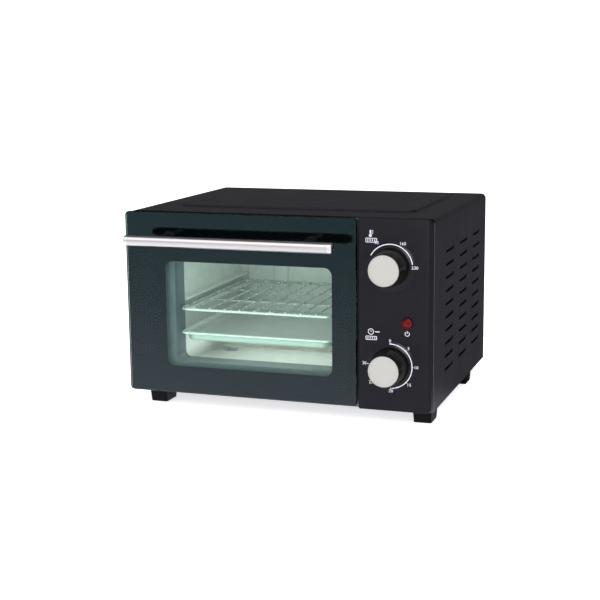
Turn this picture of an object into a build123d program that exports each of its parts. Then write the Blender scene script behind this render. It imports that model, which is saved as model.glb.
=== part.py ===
from build123d import *

# Countertop toaster oven with a glass drop-down door, a control panel on the right,
# a thermostat and a clockwork timer.
# Millimetres, +Z up, the front faces -Y. The origin is on the table, under the middle
# of the whole object's footprint.

import os
from math import cos, radians, sin

os.makedirs("parts", exist_ok=True)

# ---------------------------------------------------------------- driving dimensions
body_width = 360.0
body_depth = 290.0
body_height = 212.0
foot_height = 14.0
handle_reach = 46.0
gland_reach = 3.0
sheet = 0.8

door_width = 276.0
glass_thickness = 4.0
window_width = 200.0
window_centre_from_left = 147.0

cavity_width = 201.0
cavity_height = 160.0
cavity_depth = 219.0
opening_width = 190.0
opening_height = 134.0

handle_radius = 6.0
knob_cap_radius = 16.9
knob_front_radius = 17.7
knob_base_radius = 20.3
knob_length = 29.0
shaft_radius = 3.0
running_clearance = 0.05

# ---------------------------------------------------------------- shared positions
left = -body_width / 2
right = body_width / 2
front = -(handle_reach + body_depth + gland_reach) / 2 + handle_reach
rear = front + body_depth
base = foot_height
top = base + body_height

glass_front = front - 2.0
glass_back = glass_front + glass_thickness
glass_bottom = base + 3.0
glass_top = top + 0.5
door_left = left
door_right = left + door_width
door_middle = (door_left + door_right) / 2

shell_front = front + 8.6
frame_front = shell_front + sheet
frame_back = frame_front + sheet
cover_back = rear - sheet
cover_front = cover_back - sheet

window_middle = left + window_centre_from_left + 0.5
cavity_middle = left + window_centre_from_left + 3.5
cavity_left = cavity_middle - cavity_width / 2
cavity_right = cavity_middle + cavity_width / 2
cavity_floor = base + 26.0
cavity_roof = cavity_floor + cavity_height
cavity_back = front + 229.0
opening_left = cavity_middle - opening_width / 2
opening_right = cavity_middle + opening_width / 2
opening_bottom = base + 38.0
opening_top = opening_bottom + opening_height
collar_back = front + 35.0

hinge_y = front + 6.0
hinge_z = base + 5.5
panel_left = door_right + 1.6
control_x = left + 313.6
temperature_z = base + 160.6
timer_z = base + 51.4
lamp_x = left + 332.7
lamp_z = base + 100.3

handle_y = front - handle_reach + handle_radius
handle_z = base + 184.4
handle_length = 243.6
handle_middle = door_middle + 1.7
post_offset = 85.0

rack_z = base + 98.6
tray_rim_z = base + 70.4
shelf_front = front + 13.0
shelf_back = front + 219.0
heater_low_z = base + 45.0
heater_high_z = base + 168.0


# ---------------------------------------------------------------- helpers
def block(x, y, z):
    """A block between pairs of low and high coordinates."""
    middle = Pos((x[0] + x[1]) / 2, (y[0] + y[1]) / 2, (z[0] + z[1]) / 2)
    return middle * Box(x[1] - x[0], y[1] - y[0], z[1] - z[0])


def rod_x(radius, x, y, z):
    """A round rod along X from x[0] to x[1]."""
    return Pos((x[0] + x[1]) / 2, y, z) * Rot(0, 90, 0) * Cylinder(radius, x[1] - x[0])


def rod_y(radius, x, y, z):
    """A round rod along Y from y[0] to y[1]."""
    return Pos(x, (y[0] + y[1]) / 2, z) * Rot(90, 0, 0) * Cylinder(radius, y[1] - y[0])


def rod_z(radius, x, y, z):
    """A round rod along Z from z[0] to z[1]."""
    return Pos(x, y, (z[0] + z[1]) / 2) * Cylinder(radius, z[1] - z[0])


def slab_y(x, y, z, radius):
    """A plate across Y whose four corners are rounded in the XZ plane."""
    plane = Plane(((x[0] + x[1]) / 2, y[0], (z[0] + z[1]) / 2), x_dir=(1, 0, 0), z_dir=(0, 1, 0))
    return extrude(plane * RectangleRounded(x[1] - x[0], z[1] - z[0], radius), amount=y[1] - y[0])


def slab_z(x, y, z, radius):
    """A plate across Z whose four corners are rounded in the XY plane."""
    plane = Plane.XY.offset(z[0]).shift_origin(((x[0] + x[1]) / 2, (y[0] + y[1]) / 2, z[0]))
    return extrude(plane * RectangleRounded(x[1] - x[0], y[1] - y[0], radius), amount=z[1] - z[0])


def profile_x(points, x):
    """An outline of (y, z) points extruded along X from x[0] to x[1]."""
    plane = Plane((x[0], 0, 0), x_dir=(0, 1, 0), z_dir=(1, 0, 0))
    return extrude(plane * Polygon(*points, align=None), amount=x[1] - x[0], dir=(1, 0, 0))


def profile_y(points, y):
    """An outline of (x, z) points extruded along Y from y[0] to y[1]."""
    plane = Plane((0, y[1], 0), x_dir=(1, 0, 0), z_dir=(0, -1, 0))
    return extrude(plane * Polygon(*points, align=None), amount=y[1] - y[0], dir=(0, -1, 0))


def turned_y(points, x, z):
    """A solid of revolution about the Y line through x and z, from (radius, y) points."""
    outline = Plane.XY * Polygon(*points, align=None)
    return Pos(x, 0, z) * revolve(outline, Axis.Y)


def fuse(pieces):
    """The union of a list of solids."""
    whole = pieces[0]
    for piece in pieces[1:]:
        whole = whole + piece
    return whole


def bent_rod(points, radius, bend):
    """A round rod along straight runs joined by arcs."""
    path = FilletPolyline(*points, radius=bend)
    section = Plane(path @ 0, z_dir=path % 0) * Circle(radius)
    return sweep(section, path=path)


def save(name, *solids):
    """Writes one node's solids to parts/NAME.step."""
    shape = solids[0] if len(solids) == 1 else Compound(children=list(solids))
    export_step(shape, f"parts/{name}.step")


# ---------------------------------------------------------------- outer shell
louvre_length = 40.0
louvre_height = 4.6
louvre_depth = 2.2
louvre_pitch_z = 15.0
louvre_pitch_y = 73.0
louvre_rows = 10
louvre_columns = 3
first_louvre_y = front + 85.0
first_louvre_z = base + 35.5
fold_radius = 6.0
front_flange = 5.0
rear_flange = 12.0
emboss_height = 2.0


def louvre_cut(side, y, z):
    """The punched window of one louvre in the shell's wall on side -1 or +1."""
    wall = sorted((side * right, side * (right - sheet)))
    return block(
        (wall[0] - 0.1, wall[1] + 0.1),
        (y - louvre_length / 2, y + louvre_length / 2),
        (z - louvre_height / 2, z + louvre_height / 2),
    )


def louvre_blade(side, y, z):
    """The blade pressed inwards from the window's upper edge, with its two cheeks."""
    outer = side * right
    inner = side * (right - sheet)
    deep = side * (right - sheet - louvre_depth)
    z_low = z - louvre_height / 2
    z_high = z + louvre_height / 2
    blade = profile_y(
        [(outer, z_high), (inner, z_high + 0.8), (deep, z_low + 1.6), (deep + side * sheet, z_low)],
        (y - louvre_length / 2, y + louvre_length / 2),
    )
    cheek_outline = [(inner, z_high + 0.8), (inner, z_low - 0.6), (deep, z_low), (deep, z_low + 1.6)]
    cheeks = [
        profile_y(cheek_outline, (end - sheet / 2, end + sheet / 2))
        for end in (y - louvre_length / 2, y + louvre_length / 2)
    ]
    return fuse([blade] + cheeks)


def outer_shell():
    """The folded steel cover: two sides and the top, open below, with returned edges."""
    outside = block((left, right), (shell_front, rear), (base, top))
    folds = outside.edges().filter_by(Axis.Y).group_by(Axis.Z)[-1]
    outside = fillet(folds, fold_radius)
    front_edges = outside.faces().sort_by(Axis.Y)[0].edges()
    front_edges = [edge for edge in front_edges if edge.center().Z > base + 1]
    outside = fillet(front_edges, 0.7)
    inside = block(
        (left + sheet, right - sheet), (shell_front + sheet, rear - sheet), (base - 5, top - sheet)
    )
    folds = inside.edges().filter_by(Axis.Y).group_by(Axis.Z)[-1]
    inside = fillet(folds, fold_radius - sheet)
    shell = outside - inside
    raised = slab_z(
        (left + 35.5, right - 35.5), (front + 68, front + 272), (top - sheet, top + emboss_height), 12
    )
    raised_rim = raised.faces().sort_by(Axis.Z)[-1].edges()
    raised = chamfer(raised_rim, emboss_height - 0.05)
    hollow = slab_z(
        (left + 37.5, right - 37.5),
        (front + 70, front + 270),
        (top - sheet - 1, top + emboss_height - sheet),
        10,
    )
    shell = shell + raised - hollow
    mouth = block(
        (left + front_flange, right - front_flange),
        (shell_front - 1, shell_front + 2),
        (base - 1, top - front_flange),
    )
    back = block(
        (left + rear_flange, right - rear_flange), (rear - 2, rear + 1), (base - 1, top - rear_flange)
    )
    shell = shell - mouth - back
    spots = [
        (side, first_louvre_y + column * louvre_pitch_y, first_louvre_z + row * louvre_pitch_z)
        for side in (-1, 1)
        for column in range(louvre_columns)
        for row in range(louvre_rows)
    ]
    shell = shell - [louvre_cut(*spot) for spot in spots]
    shell = shell + [louvre_blade(*spot) for spot in spots]
    return shell - [rod_y(1.7, x, (rear - 3, rear + 1), z) for x, z in cover_screw_places()]


def cover_screw_places():
    """Where the screws hold the shell's rear flange to the rear cover."""
    sides = [(side * (right - 6), z) for side in (-1, 1) for z in (base + 24, base + 106, base + 188)]
    return sides + [(side * 80.0, top - 6) for side in (-1, 1)]


def pan_screw_y(x, y_seat, z, head_radius, shank_radius, shank_length, way):
    """A pan-head screw along Y. Its head stands off y_seat against the way the shank points."""
    head_height = head_radius * 0.55
    head = rod_y(head_radius, x, sorted((y_seat, y_seat - way * head_height)), z)
    rim = head.faces().sort_by(Axis.Y)[0 if way > 0 else -1].edges()
    head = fillet(rim, head_height * 0.6)
    shank = rod_y(shank_radius, x, sorted((y_seat, y_seat + way * shank_length)), z)
    slot_y = sorted((y_seat - way * head_height * 1.2, y_seat - way * head_height * 0.55))
    across = block((x - head_radius * 0.6, x + head_radius * 0.6), slot_y, (z - 0.4, z + 0.4))
    upright = block((x - 0.4, x + 0.4), slot_y, (z - head_radius * 0.6, z + head_radius * 0.6))
    return head + shank - across - upright


# ---------------------------------------------------------------- base, rear cover, feet
foot_width = 21.0
foot_depth = 27.0
left_foot_x = left + 28.5
right_foot_x = left + 346.5
front_foot_y = front + 28.5
rear_foot_y = front + 211.0


def foot_places():
    """The middles of the four feet."""
    return [(x, y) for x in (left_foot_x, right_foot_x) for y in (front_foot_y, rear_foot_y)]


def base_plate():
    """The floor pan with its turned-up sides and two fields of cooling slots."""
    floor = block((left + sheet, right - sheet), (frame_front, cover_front), (base, base + sheet))
    side_walls = [
        block(
            sorted((side * (right - sheet), side * (right - 2 * sheet))),
            (frame_back, cover_front),
            (base, base + 12),
        )
        for side in (-1, 1)
    ]
    slots = [
        slab_z((x - 30, x + 30), (y - 2, y + 2), (base - 1, base + 2), 1.9)
        for x in (-70.0, 20.0, 120.0)
        for y in [front + 70 + 14 * step for step in range(8)]
    ]
    holes = [rod_z(2.1, x, y, (base - 1, base + 2)) for x, y in foot_places()]
    return fuse([floor] + side_walls) - slots - holes


def rear_cover():
    """The flat steel back with a field of vent slots and the cord's hole."""
    plate = block((left + 1, right - 1), (cover_front, cover_back), (base + sheet, top - 1))
    corners = plate.edges().filter_by(Axis.Y).group_by(Axis.Z)[-1]
    plate = fillet(corners, fold_radius - 1)
    slots = [
        slab_y((x - 22, x + 22), (cover_front - 1, cover_back + 1), (z - 2, z + 2), 1.9)
        for x in (-120.0, -60.0, 0.0)
        for z in [base + 96 + 10 * step for step in range(9)]
    ]
    bay_slots = [
        slab_y((118, 150), (cover_front - 1, cover_back + 1), (z - 2, z + 2), 1.9)
        for z in [base + 116 + 10 * step for step in range(7)]
    ]
    cord_hole = rod_y(gland_neck_radius, gland_x, (cover_front - 1, cover_back + 1), gland_z)
    screw_holes = [rod_y(1.7, x, (cover_front - 1, cover_back + 1), z) for x, z in cover_screw_places()]
    return plate - slots - bay_slots - cord_hole - screw_holes


gland_x = 140.0
gland_z = base + 26.0
gland_bore = 3.8
gland_neck_radius = 7.0


def cord_gland():
    """The snap-in bush that lines the cord's hole."""
    outline = [
        (gland_bore, rear + gland_reach),
        (9.0, rear + gland_reach),
        (10.5, rear + gland_reach - 2),
        (10.5, cover_back),
        (gland_neck_radius, cover_back),
        (gland_neck_radius, cover_front),
        (8.4, cover_front),
        (7.4, cover_front - 8),
        (gland_bore, cover_front - 8),
    ]
    return turned_y(outline, gland_x, gland_z)


def foot(x, y):
    """One tapered foot with fine grooves round it and a sunk screw seat."""
    top_face = Plane.XY.offset(base).shift_origin((x, y, base)) * Rectangle(foot_width, foot_depth + 6)
    bottom_face = Plane.XY.shift_origin((x, y, 0)) * Rectangle(foot_width - 1.0, foot_depth)
    body = loft([bottom_face, top_face])
    body = fillet(body.edges().filter_by(lambda edge: abs((edge % 0.5).Z) > 0.8), 1.5)
    for level in (3.5, 6.0, 8.5, 11.0):
        band = block((x - 20, x + 20), (y - 25, y + 25), (level - 0.4, level + 0.4))
        half_depth = foot_depth / 2 + 3.0 * level / base
        core = block(
            (x - foot_width / 2 + 0.9, x + foot_width / 2 - 0.9),
            (y - half_depth + 0.6, y + half_depth - 0.6),
            (level - 1, level + 1),
        )
        body = body - (band - core)
    seat = rod_z(4.6, x, y, (-1, 8))
    hole = rod_z(2.0, x, y, (-1, base + 1))
    return body - seat - hole


def foot_screw(x, y):
    """The screw that holds one foot to the base plate from below."""
    head = rod_z(4.0, x, y, (5.6, 8))
    head = fillet(head.faces().sort_by(Axis.Z)[0].edges(), 1.2)
    cross = block((x - 2.4, x + 2.4), (y - 0.5, y + 0.5), (5, 6.8))
    cross = cross + block((x - 0.5, x + 0.5), (y - 2.4, y + 2.4), (5, 6.8))
    return head + rod_z(2.0, x, y, (8, base + 5)) - cross


# ---------------------------------------------------------------- front frame and cavity
stay_x = left + 30.0
stay_inner = 52.0
stay_outer = 58.0
panel_screw_places = [(108.0, base + 16), (170.0, base + 16), (108.0, base + 198), (170.0, base + 198)]
control_screw_offset = 18.0


def front_frame():
    """The steel front with the oven opening's collar and the holes for the controls."""
    plate = block((left + 1, right - 1), (frame_front, frame_back), (base + sheet, top - 1))
    corners = plate.edges().filter_by(Axis.Y).group_by(Axis.Z)[-1]
    plate = fillet(corners, fold_radius - 1)
    collar = slab_y(
        (opening_left - sheet, opening_right + sheet),
        (frame_front, collar_back),
        (opening_bottom - sheet, opening_top + sheet),
        8 + sheet,
    )
    mouth = slab_y(
        (opening_left, opening_right), (frame_front - 1, collar_back + 1), (opening_bottom, opening_top), 8
    )
    shaft_holes = [
        rod_y(5.0, control_x, (frame_front - 1, frame_back + 1), z) for z in (temperature_z, timer_z)
    ]
    lamp_hole = rod_y(6.5, lamp_x, (frame_front - 1, frame_back + 1), lamp_z)
    control_holes = [
        rod_y(1.6, control_x + side * control_screw_offset, (frame_front - 1, frame_back + 1), z)
        for side in (-1, 1)
        for z in (temperature_z, timer_z)
    ]
    panel_holes = [rod_y(1.3, x, (frame_front - 1, frame_back + 1), z) for x, z in panel_screw_places]
    stay_slot = block(
        (stay_x - 1.6, stay_x + 1.6),
        (frame_front - 1, frame_back + 1),
        (hinge_z + stay_inner - 1.5, hinge_z + stay_outer + 1.5),
    )
    bracket_holes = [
        rod_y(1.4, x, (frame_front - 1, frame_back + 1), bracket_screw_z) for x in bracket_screw_x
    ]
    frame = plate + collar - mouth
    return frame - shaft_holes - lamp_hole - control_holes - panel_holes - stay_slot - bracket_holes


ridge_reach = 11.0


def ridge(side, z_top, z_bottom):
    """One pressed shelf guide along a side wall, as thin as the wall it is pressed from."""
    wall = cavity_left if side < 0 else cavity_right
    tip = wall - side * ridge_reach
    out = wall + side * sheet
    span = (collar_back + 1, cavity_back - 4)
    body = profile_y([(out, z_bottom), (out, z_top), (tip, z_top), (tip, z_top - 2.6)], span)
    groove = profile_y(
        [
            (out + side * 0.2, z_bottom + 0.7),
            (out + side * 0.2, z_top - sheet),
            (tip + side * 1.0, z_top - sheet),
            (tip + side * 1.0, z_top - 2.0),
        ],
        (span[0] + sheet, span[1] - sheet),
    )
    return body, groove


def heater_leg_places():
    """The Y and Z of the four heater legs where they pass the right wall."""
    middle = (collar_back + cavity_back) / 2 - 4
    return [(middle + way * 45.0, z) for z in (heater_low_z, heater_high_z) for way in (-1, 1)]


def cavity_liner():
    """The four walls of the baking cavity with three pairs of shelf guides."""
    outside = block(
        (cavity_left - sheet, cavity_right + sheet),
        (frame_back, cavity_back),
        (cavity_floor - sheet, cavity_roof + sheet),
    )
    inside = block(
        (cavity_left, cavity_right), (frame_back - 1, cavity_back + 1), (cavity_floor, cavity_roof)
    )
    liner = outside - inside
    levels = (tray_rim_z - 1.7, rack_z - 1.9, rack_z + 10.4)
    pairs = [ridge(side, level, level - 7.0) for side in (-1, 1) for level in levels]
    liner = liner + [pair[0] for pair in pairs] - [pair[1] for pair in pairs]
    holes = [
        rod_x(5.5, (cavity_right - 1, cavity_right + 2), y, z) for y, z in heater_leg_places()
    ]
    return liner - holes


def cavity_back_panel():
    """The cavity's back wall with pressed upright ribs."""
    plate = block(
        (cavity_left - sheet, cavity_right + sheet),
        (cavity_back, cavity_back + sheet),
        (cavity_floor - sheet, cavity_roof + sheet),
    )
    rib_height = 2.4
    for side in (-1, 1):
        for offset, width, low in ((84.5, 11.0, 10.0), (44.5, 20.0, 47.0)):
            x = cavity_middle + side * offset
            span_x = (x - width / 2, x + width / 2)
            span_z = (cavity_floor + low, cavity_roof - 14)
            rib = slab_y(span_x, (cavity_back - rib_height, cavity_back), span_z, width / 2 - 0.1)
            rib = chamfer(rib.faces().sort_by(Axis.Y)[0].edges(), 1.2)
            hollow = slab_y(
                (span_x[0] + 1.6, span_x[1] - 1.6),
                (cavity_back - rib_height + sheet, cavity_back + sheet + 1),
                (span_z[0] + 1.6, span_z[1] - 1.6),
                width / 2 - 1.8,
            )
            plate = plate + rib - hollow
    return plate


# ---------------------------------------------------------------- heaters
heater_radius = 3.25
heater_turn_x = cavity_left + 20.0
terminal_x = cavity_right + 13.0


def heating_element(z):
    """One hairpin tubular heater with its two terminal pins."""
    near, far = [place[0] for place in heater_leg_places()][:2]
    points = [
        (terminal_x, near, z),
        (heater_turn_x, near, z),
        (heater_turn_x, far, z),
        (terminal_x, far, z),
    ]
    tube = bent_rod(points, heater_radius, 16)
    pins = [rod_x(1.5, (terminal_x, terminal_x + 10), y, z) for y in (near, far)]
    return fuse([tube] + pins)


def heater_bush(y, z):
    """A ceramic bush that insulates one heater leg from the cavity wall."""
    wall = cavity_right
    sleeve = rod_x(5.5, (wall - 2, wall + sheet), y, z)
    flange = rod_x(8.0, (wall + sheet, wall + sheet + 3), y, z)
    neck = rod_x(5.5, (wall + sheet + 3, wall + 10), y, z)
    bore = rod_x(heater_radius, (wall - 4, wall + 12), y, z)
    return sleeve + flange + neck - bore


def heater_clip(z, wall_z):
    """A bent strip that carries the heater's bend from the floor or the roof."""
    middle = (collar_back + cavity_back) / 2 - 4
    span = (middle - 6, middle + 6)
    way = 1 if z > wall_z else -1
    x = heater_turn_x
    ring = Pos(x, middle, z) * Rot(90, 0, 0) * (Cylinder(heater_radius + 1, 12) - Cylinder(heater_radius, 13))
    post_z = sorted((wall_z, z - way * (heater_radius + 0.5)))
    post = block((x - 0.6, x + 0.6), span, post_z)
    foot_z = sorted((wall_z, wall_z + way * 1.0))
    pad = block((x - 0.6, x + 12), span, foot_z)
    return ring + post + pad


# ---------------------------------------------------------------- rack and tray
shelf_left = opening_left + 1.2
shelf_right = opening_right - 1.2
rack_wire = 1.6
rack_rod = 1.1
rack_bars = 9


def rounded_loop(x, y, z, corner, radius):
    """A closed round wire along a rounded rectangle that lies flat at height z."""
    plane = Plane.XY.offset(z).shift_origin(((x[0] + x[1]) / 2, (y[0] + y[1]) / 2, z))
    outline = plane * RectangleRounded(x[1] - x[0], y[1] - y[0], corner)
    path = outline.wire()
    section = Plane(path @ 0, z_dir=path % 0) * Circle(radius)
    return sweep(section, path=path)


def wire_rack():
    """The grill shelf: a bent wire frame with rods welded across it."""
    frame_x = (shelf_left + rack_wire, shelf_right - rack_wire)
    frame_y = (shelf_front + rack_wire, shelf_back - rack_wire)
    frame = rounded_loop(frame_x, frame_y, rack_z, 10, rack_wire)
    pitch = (frame_x[1] - frame_x[0]) / (rack_bars + 1)
    long_rods = [
        rod_y(rack_rod, frame_x[0] + pitch * (index + 1), frame_y, rack_z + 1.5)
        for index in range(rack_bars)
    ]
    cross_rods = [
        rod_x(rack_rod, frame_x, frame_y[0] + share * (frame_y[1] - frame_y[0]), rack_z - 0.5)
        for share in (0.33, 0.67)
    ]
    return fuse([frame] + long_rods + cross_rods)


tray_depth = 9.4
tray_rim_wire = 1.4


def baking_tray():
    """The shallow pressed tray with a rolled rim."""
    rim_x = (shelf_left + tray_rim_wire, shelf_right - tray_rim_wire)
    rim_y = (shelf_front + tray_rim_wire, shelf_back - tray_rim_wire)
    rim = rounded_loop(rim_x, rim_y, tray_rim_z, 9, tray_rim_wire)
    flange = slab_z(rim_x, rim_y, (tray_rim_z, tray_rim_z + 0.8), 9)
    tip_left = cavity_left + ridge_reach
    tip_right = cavity_right - ridge_reach
    pan_x = (tip_left + 1.5, tip_right - 1.5)
    pan_y = (rim_y[0] + 5, rim_y[1] - 5)
    pan = slab_z(pan_x, pan_y, (tray_rim_z - tray_depth, tray_rim_z + 0.8), 12)
    pan = fillet(pan.faces().sort_by(Axis.Z)[0].edges(), 3)
    hollow = slab_z(
        (pan_x[0] + sheet, pan_x[1] - sheet),
        (pan_y[0] + sheet, pan_y[1] - sheet),
        (tray_rim_z - tray_depth + sheet, tray_rim_z + 2),
        11,
    )
    hollow = fillet(hollow.faces().sort_by(Axis.Z)[0].edges(), 2.4)
    return rim + flange + pan - hollow


# ---------------------------------------------------------------- control panel and lamp
def control_panel():
    """The moulded panel with its rolled edges, two raised dial rings and screw posts."""
    plate = block((panel_left, right), (front, front + 6.8), (base + 0.5, top + 1))
    uprights = plate.edges().filter_by(Axis.Y)
    plate = fillet(uprights.group_by(Axis.X)[-1], 7)
    plate = fillet(plate.edges().filter_by(Axis.Y).group_by(Axis.X)[0], 1.5)
    plate = fillet(plate.faces().sort_by(Axis.Y)[0].edges(), 1.3)
    recess = block((panel_left + 2.5, right - 2.5), (front + 3, front + 8), (base + 3, top - 1.5))
    recess = fillet(recess.edges().filter_by(Axis.Y).group_by(Axis.X)[-1], 4.5)
    plate = plate - recess
    ring_outline = [
        (28.0, front),
        (22.0, front - 1.1),
        (21.0, front - 1.1),
        (21.0, front + 1),
        (28.0, front + 1),
    ]
    rings = [turned_y(ring_outline, control_x, z) for z in (temperature_z, timer_z)]
    posts = [rod_y(3.6, x, (front + 2, frame_front), z) for x, z in panel_screw_places]
    plate = fuse([plate] + rings + posts)
    holes = [rod_y(5.0, control_x, (front - 2, front + 4), z) for z in (temperature_z, timer_z)]
    lamp_hole = rod_y(lamp_barrel, lamp_x, (front - 1, front + 4), lamp_z)
    pilots = [rod_y(1.3, x, (front + 4, frame_front + 1), z) for x, z in panel_screw_places]
    return plate - holes - lamp_hole - pilots


lamp_barrel = 5.5
lamp_stem = 4.5
lamp_flange = 6.6


def pilot_lamp_housing():
    """The black bezel and barrel that hold the neon lamp."""
    bezel = rod_y(lamp_flange, lamp_x, (front - 1, front), lamp_z)
    bezel = fillet(bezel.faces().sort_by(Axis.Y)[0].edges(), 0.5)
    barrel = rod_y(lamp_barrel, lamp_x, (front, front + 24), lamp_z)
    bore = rod_y(lamp_stem, lamp_x, (front - 2, front + 22), lamp_z)
    tabs = [
        block((lamp_x + side * 2 - 0.4, lamp_x + side * 2 + 0.4), (front + 24, front + 31), (lamp_z - 2, lamp_z + 2))
        for side in (-1, 1)
    ]
    return fuse([bezel + barrel - bore] + tabs)


def pilot_lamp_lens():
    """The red jewel lens with its stem."""
    stem = rod_y(lamp_stem, lamp_x, (front - 1, front + 6), lamp_z)
    collar = rod_y(5.5, lamp_x, (front - 2.4, front - 1), lamp_z)
    dome = rod_y(5.5, lamp_x, (front - 5.4, front - 2.4), lamp_z)
    dome = chamfer(dome.faces().sort_by(Axis.Y)[0].edges(), 2.6)
    return stem + collar + dome


# ---------------------------------------------------------------- controls
def control_shaft(z):
    """The shaft of a control, with a flat where the knob grips it."""
    shaft = rod_y(shaft_radius, control_x, (front - 18, front + 20), z)
    flat = block((control_x - 4, control_x + 4), (front - 19, front - 3), (z + 1.6, z + 4))
    return shaft - flat


def knob(z):
    """The dark knob body: a tapered cup with a central boss."""
    cap_seat = front - knob_length + 1.4
    rim = front - knob_length + 0.5
    skirt = front - 1.4
    outline = [
        (0, cap_seat),
        (knob_cap_radius + 0.05, cap_seat),
        (knob_cap_radius + 0.05, rim),
        (knob_front_radius - 0.3, rim),
        (knob_front_radius, rim + 0.4),
        (knob_base_radius - 0.3, skirt - 1.5),
        (knob_base_radius, skirt),
        (knob_base_radius - 2.0, skirt),
        (knob_front_radius - 2.0, cap_seat + 2.4),
        (6.0, cap_seat + 2.4),
        (6.0, front - 3),
        (0, front - 3),
    ]
    body = turned_y(outline, control_x, z)
    bore = rod_y(shaft_radius, control_x, (front - 18, front - 2), z)
    flat = block((control_x - 4, control_x + 4), (front - 19, front - 1), (z + 1.6, z + 4))
    return body - (bore - flat)


def knob_cap(z):
    """The light disc on the knob's face, with a narrow raised rim."""
    cap = rod_y(knob_cap_radius, control_x, (front - knob_length, front - knob_length + 1.4), z)
    cap = chamfer(cap.faces().sort_by(Axis.Y)[0].edges(), 0.4)
    dish_back = front - knob_length + 0.35
    dish = rod_y(knob_cap_radius - 1.3, control_x, (front - knob_length - 1, dish_back), z)
    return cap - dish


def bushing(z):
    """The fixed collar round a control's shaft."""
    return rod_y(4.75, control_x, (front + 5, frame_back + 1), z)


def shaft_bore(z):
    """The running bore for a control's shaft."""
    return rod_y(shaft_radius + running_clearance, control_x, (front + 4, front + 22), z)


def thermostat_body():
    """The bimetal thermostat: bracket, ceramic block and spade terminals."""
    x = control_x
    z = temperature_z
    bracket = block((x - 23, x + 23), (frame_back, frame_back + 1), (z - 7, z + 7))
    ceramic = block((x - 13, x + 13), (frame_back + 1, frame_back + 26), (z - 11, z + 11))
    ceramic = fillet(ceramic.edges().filter_by(Axis.Y), 2)
    tabs = [
        block((x + side * 8 - 3, x + side * 8 + 3), (frame_back + 26, frame_back + 35), (z - 0.4, z + 0.4))
        for side in (-1, 1)
    ]
    strip = block((x - 4, x + 4), (frame_back + 4, frame_back + 24), (z + 11, z + 12.2))
    holes = [rod_y(1.6, x + side * control_screw_offset, (frame_back - 1, frame_back + 2), z) for side in (-1, 1)]
    return fuse([bracket, ceramic, bushing(z), strip] + tabs) - holes - shaft_bore(z)


def timer_body():
    """The clockwork timer's gear case."""
    x = control_x
    z = timer_z
    case = block((x - 23, x + 23), (frame_back, frame_back + 28), (z - 21, z + 21))
    case = fillet(case.edges().filter_by(Axis.Y), 4)
    post = rod_y(3.0, x, (frame_back + 28, frame_back + 40), z)
    tabs = [
        block((x + 23, x + 31), (frame_back + 16, frame_back + 22), (z + side * 9 - 0.4, z + side * 9 + 0.4))
        for side in (-1, 1)
    ]
    holes = [
        rod_y(1.6, x + side * control_screw_offset, (frame_back - 1, frame_back + 7), z) for side in (-1, 1)
    ]
    return fuse([case, bushing(z), post] + tabs) - holes - shaft_bore(z)


def timer_bell():
    """The bell cup on the timer's rear post."""
    y = frame_back + 31
    outline = [
        (3.0, y + 9),
        (3.0, y + 7.8),
        (12.0, y + 7.0),
        (16.0, y + 3.6),
        (17.0, y),
        (18.0, y),
        (17.2, y + 4.2),
        (12.8, y + 8.2),
    ]
    return turned_y(outline, control_x, timer_z)


# ---------------------------------------------------------------- door
pin_radius = 1.5
ear_x = (door_left + 13.0, door_right - 13.0)
bracket_x = (door_left + 7.0, door_right - 7.0)
bracket_screw_x = (door_left + 19.0, door_right - 19.0)
bracket_screw_z = base + 21.0
inner_back = glass_back + sheet
post_x = (handle_middle - post_offset, handle_middle + post_offset)


def door_glass():
    """The tempered glass front with polished edges and two handle holes."""
    glass = slab_y((door_left, door_right), (glass_front, glass_back), (glass_bottom, glass_top), 4.5)
    glass = chamfer(glass.faces().sort_by(Axis.Y)[0].edges(), 0.5)
    return glass - [rod_y(3.0, x, (glass_front - 1, glass_back + 1), handle_z) for x in post_x]


def door_inner_frame():
    """The pressed steel frame bonded behind the glass."""
    x = (door_left + 3, door_right - 3)
    z = (base + 9.5, top - 4)
    plate = slab_y(x, (glass_back, glass_back + 3.5), z, 4)
    pocket = slab_y(
        (x[0] + sheet, x[1] - sheet), (inner_back, glass_back + 5), (z[0] + sheet, z[1] - sheet), 3.2
    )
    half = window_width / 2 + 6
    window_x = (window_middle - half, window_middle + half)
    window = slab_y(window_x, (glass_back - 1, inner_back + 1), (base + 28, base + 162), 9)
    holes = [rod_y(2.2, post, (glass_back - 1, inner_back + 1), handle_z) for post in post_x]
    notches = [block((ear - 3, ear + 3), (inner_back, glass_back + 5), (z[0] - 1, z[0] + 2)) for ear in ear_x]
    return plate - pocket - window - holes - notches


def hinge_ear(x, inward):
    """One door ear: a plate on the inner frame and a cheek that carries the hinge pin."""
    cheek = profile_x(
        [
            (inner_back, hinge_z),
            (hinge_y + 1.5, hinge_z),
            (hinge_y + 1.5, hinge_z + 14),
            (inner_back, hinge_z + 20),
        ],
        (x - 0.6, x + 0.6),
    )
    eye = rod_x(2.6, (x - 0.6, x + 0.6), hinge_y, hinge_z)
    pad = block(
        sorted((x - inward * 0.6, x + inward * 17)), (inner_back, inner_back + 1.2), (base + 11, base + 30)
    )
    return cheek + eye + pad - rod_x(pin_radius, (x - 2, x + 2), hinge_y, hinge_z)


def hinge_pin(x, inward):
    """One hinge pin, riveted in its ear and pointing outwards."""
    shank = rod_x(pin_radius, sorted((x + inward * 1.6, x - inward * 8.6)), hinge_y, hinge_z)
    head = rod_x(2.4, sorted((x + inward * 0.6, x + inward * 1.6)), hinge_y, hinge_z)
    return shank + head


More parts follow.
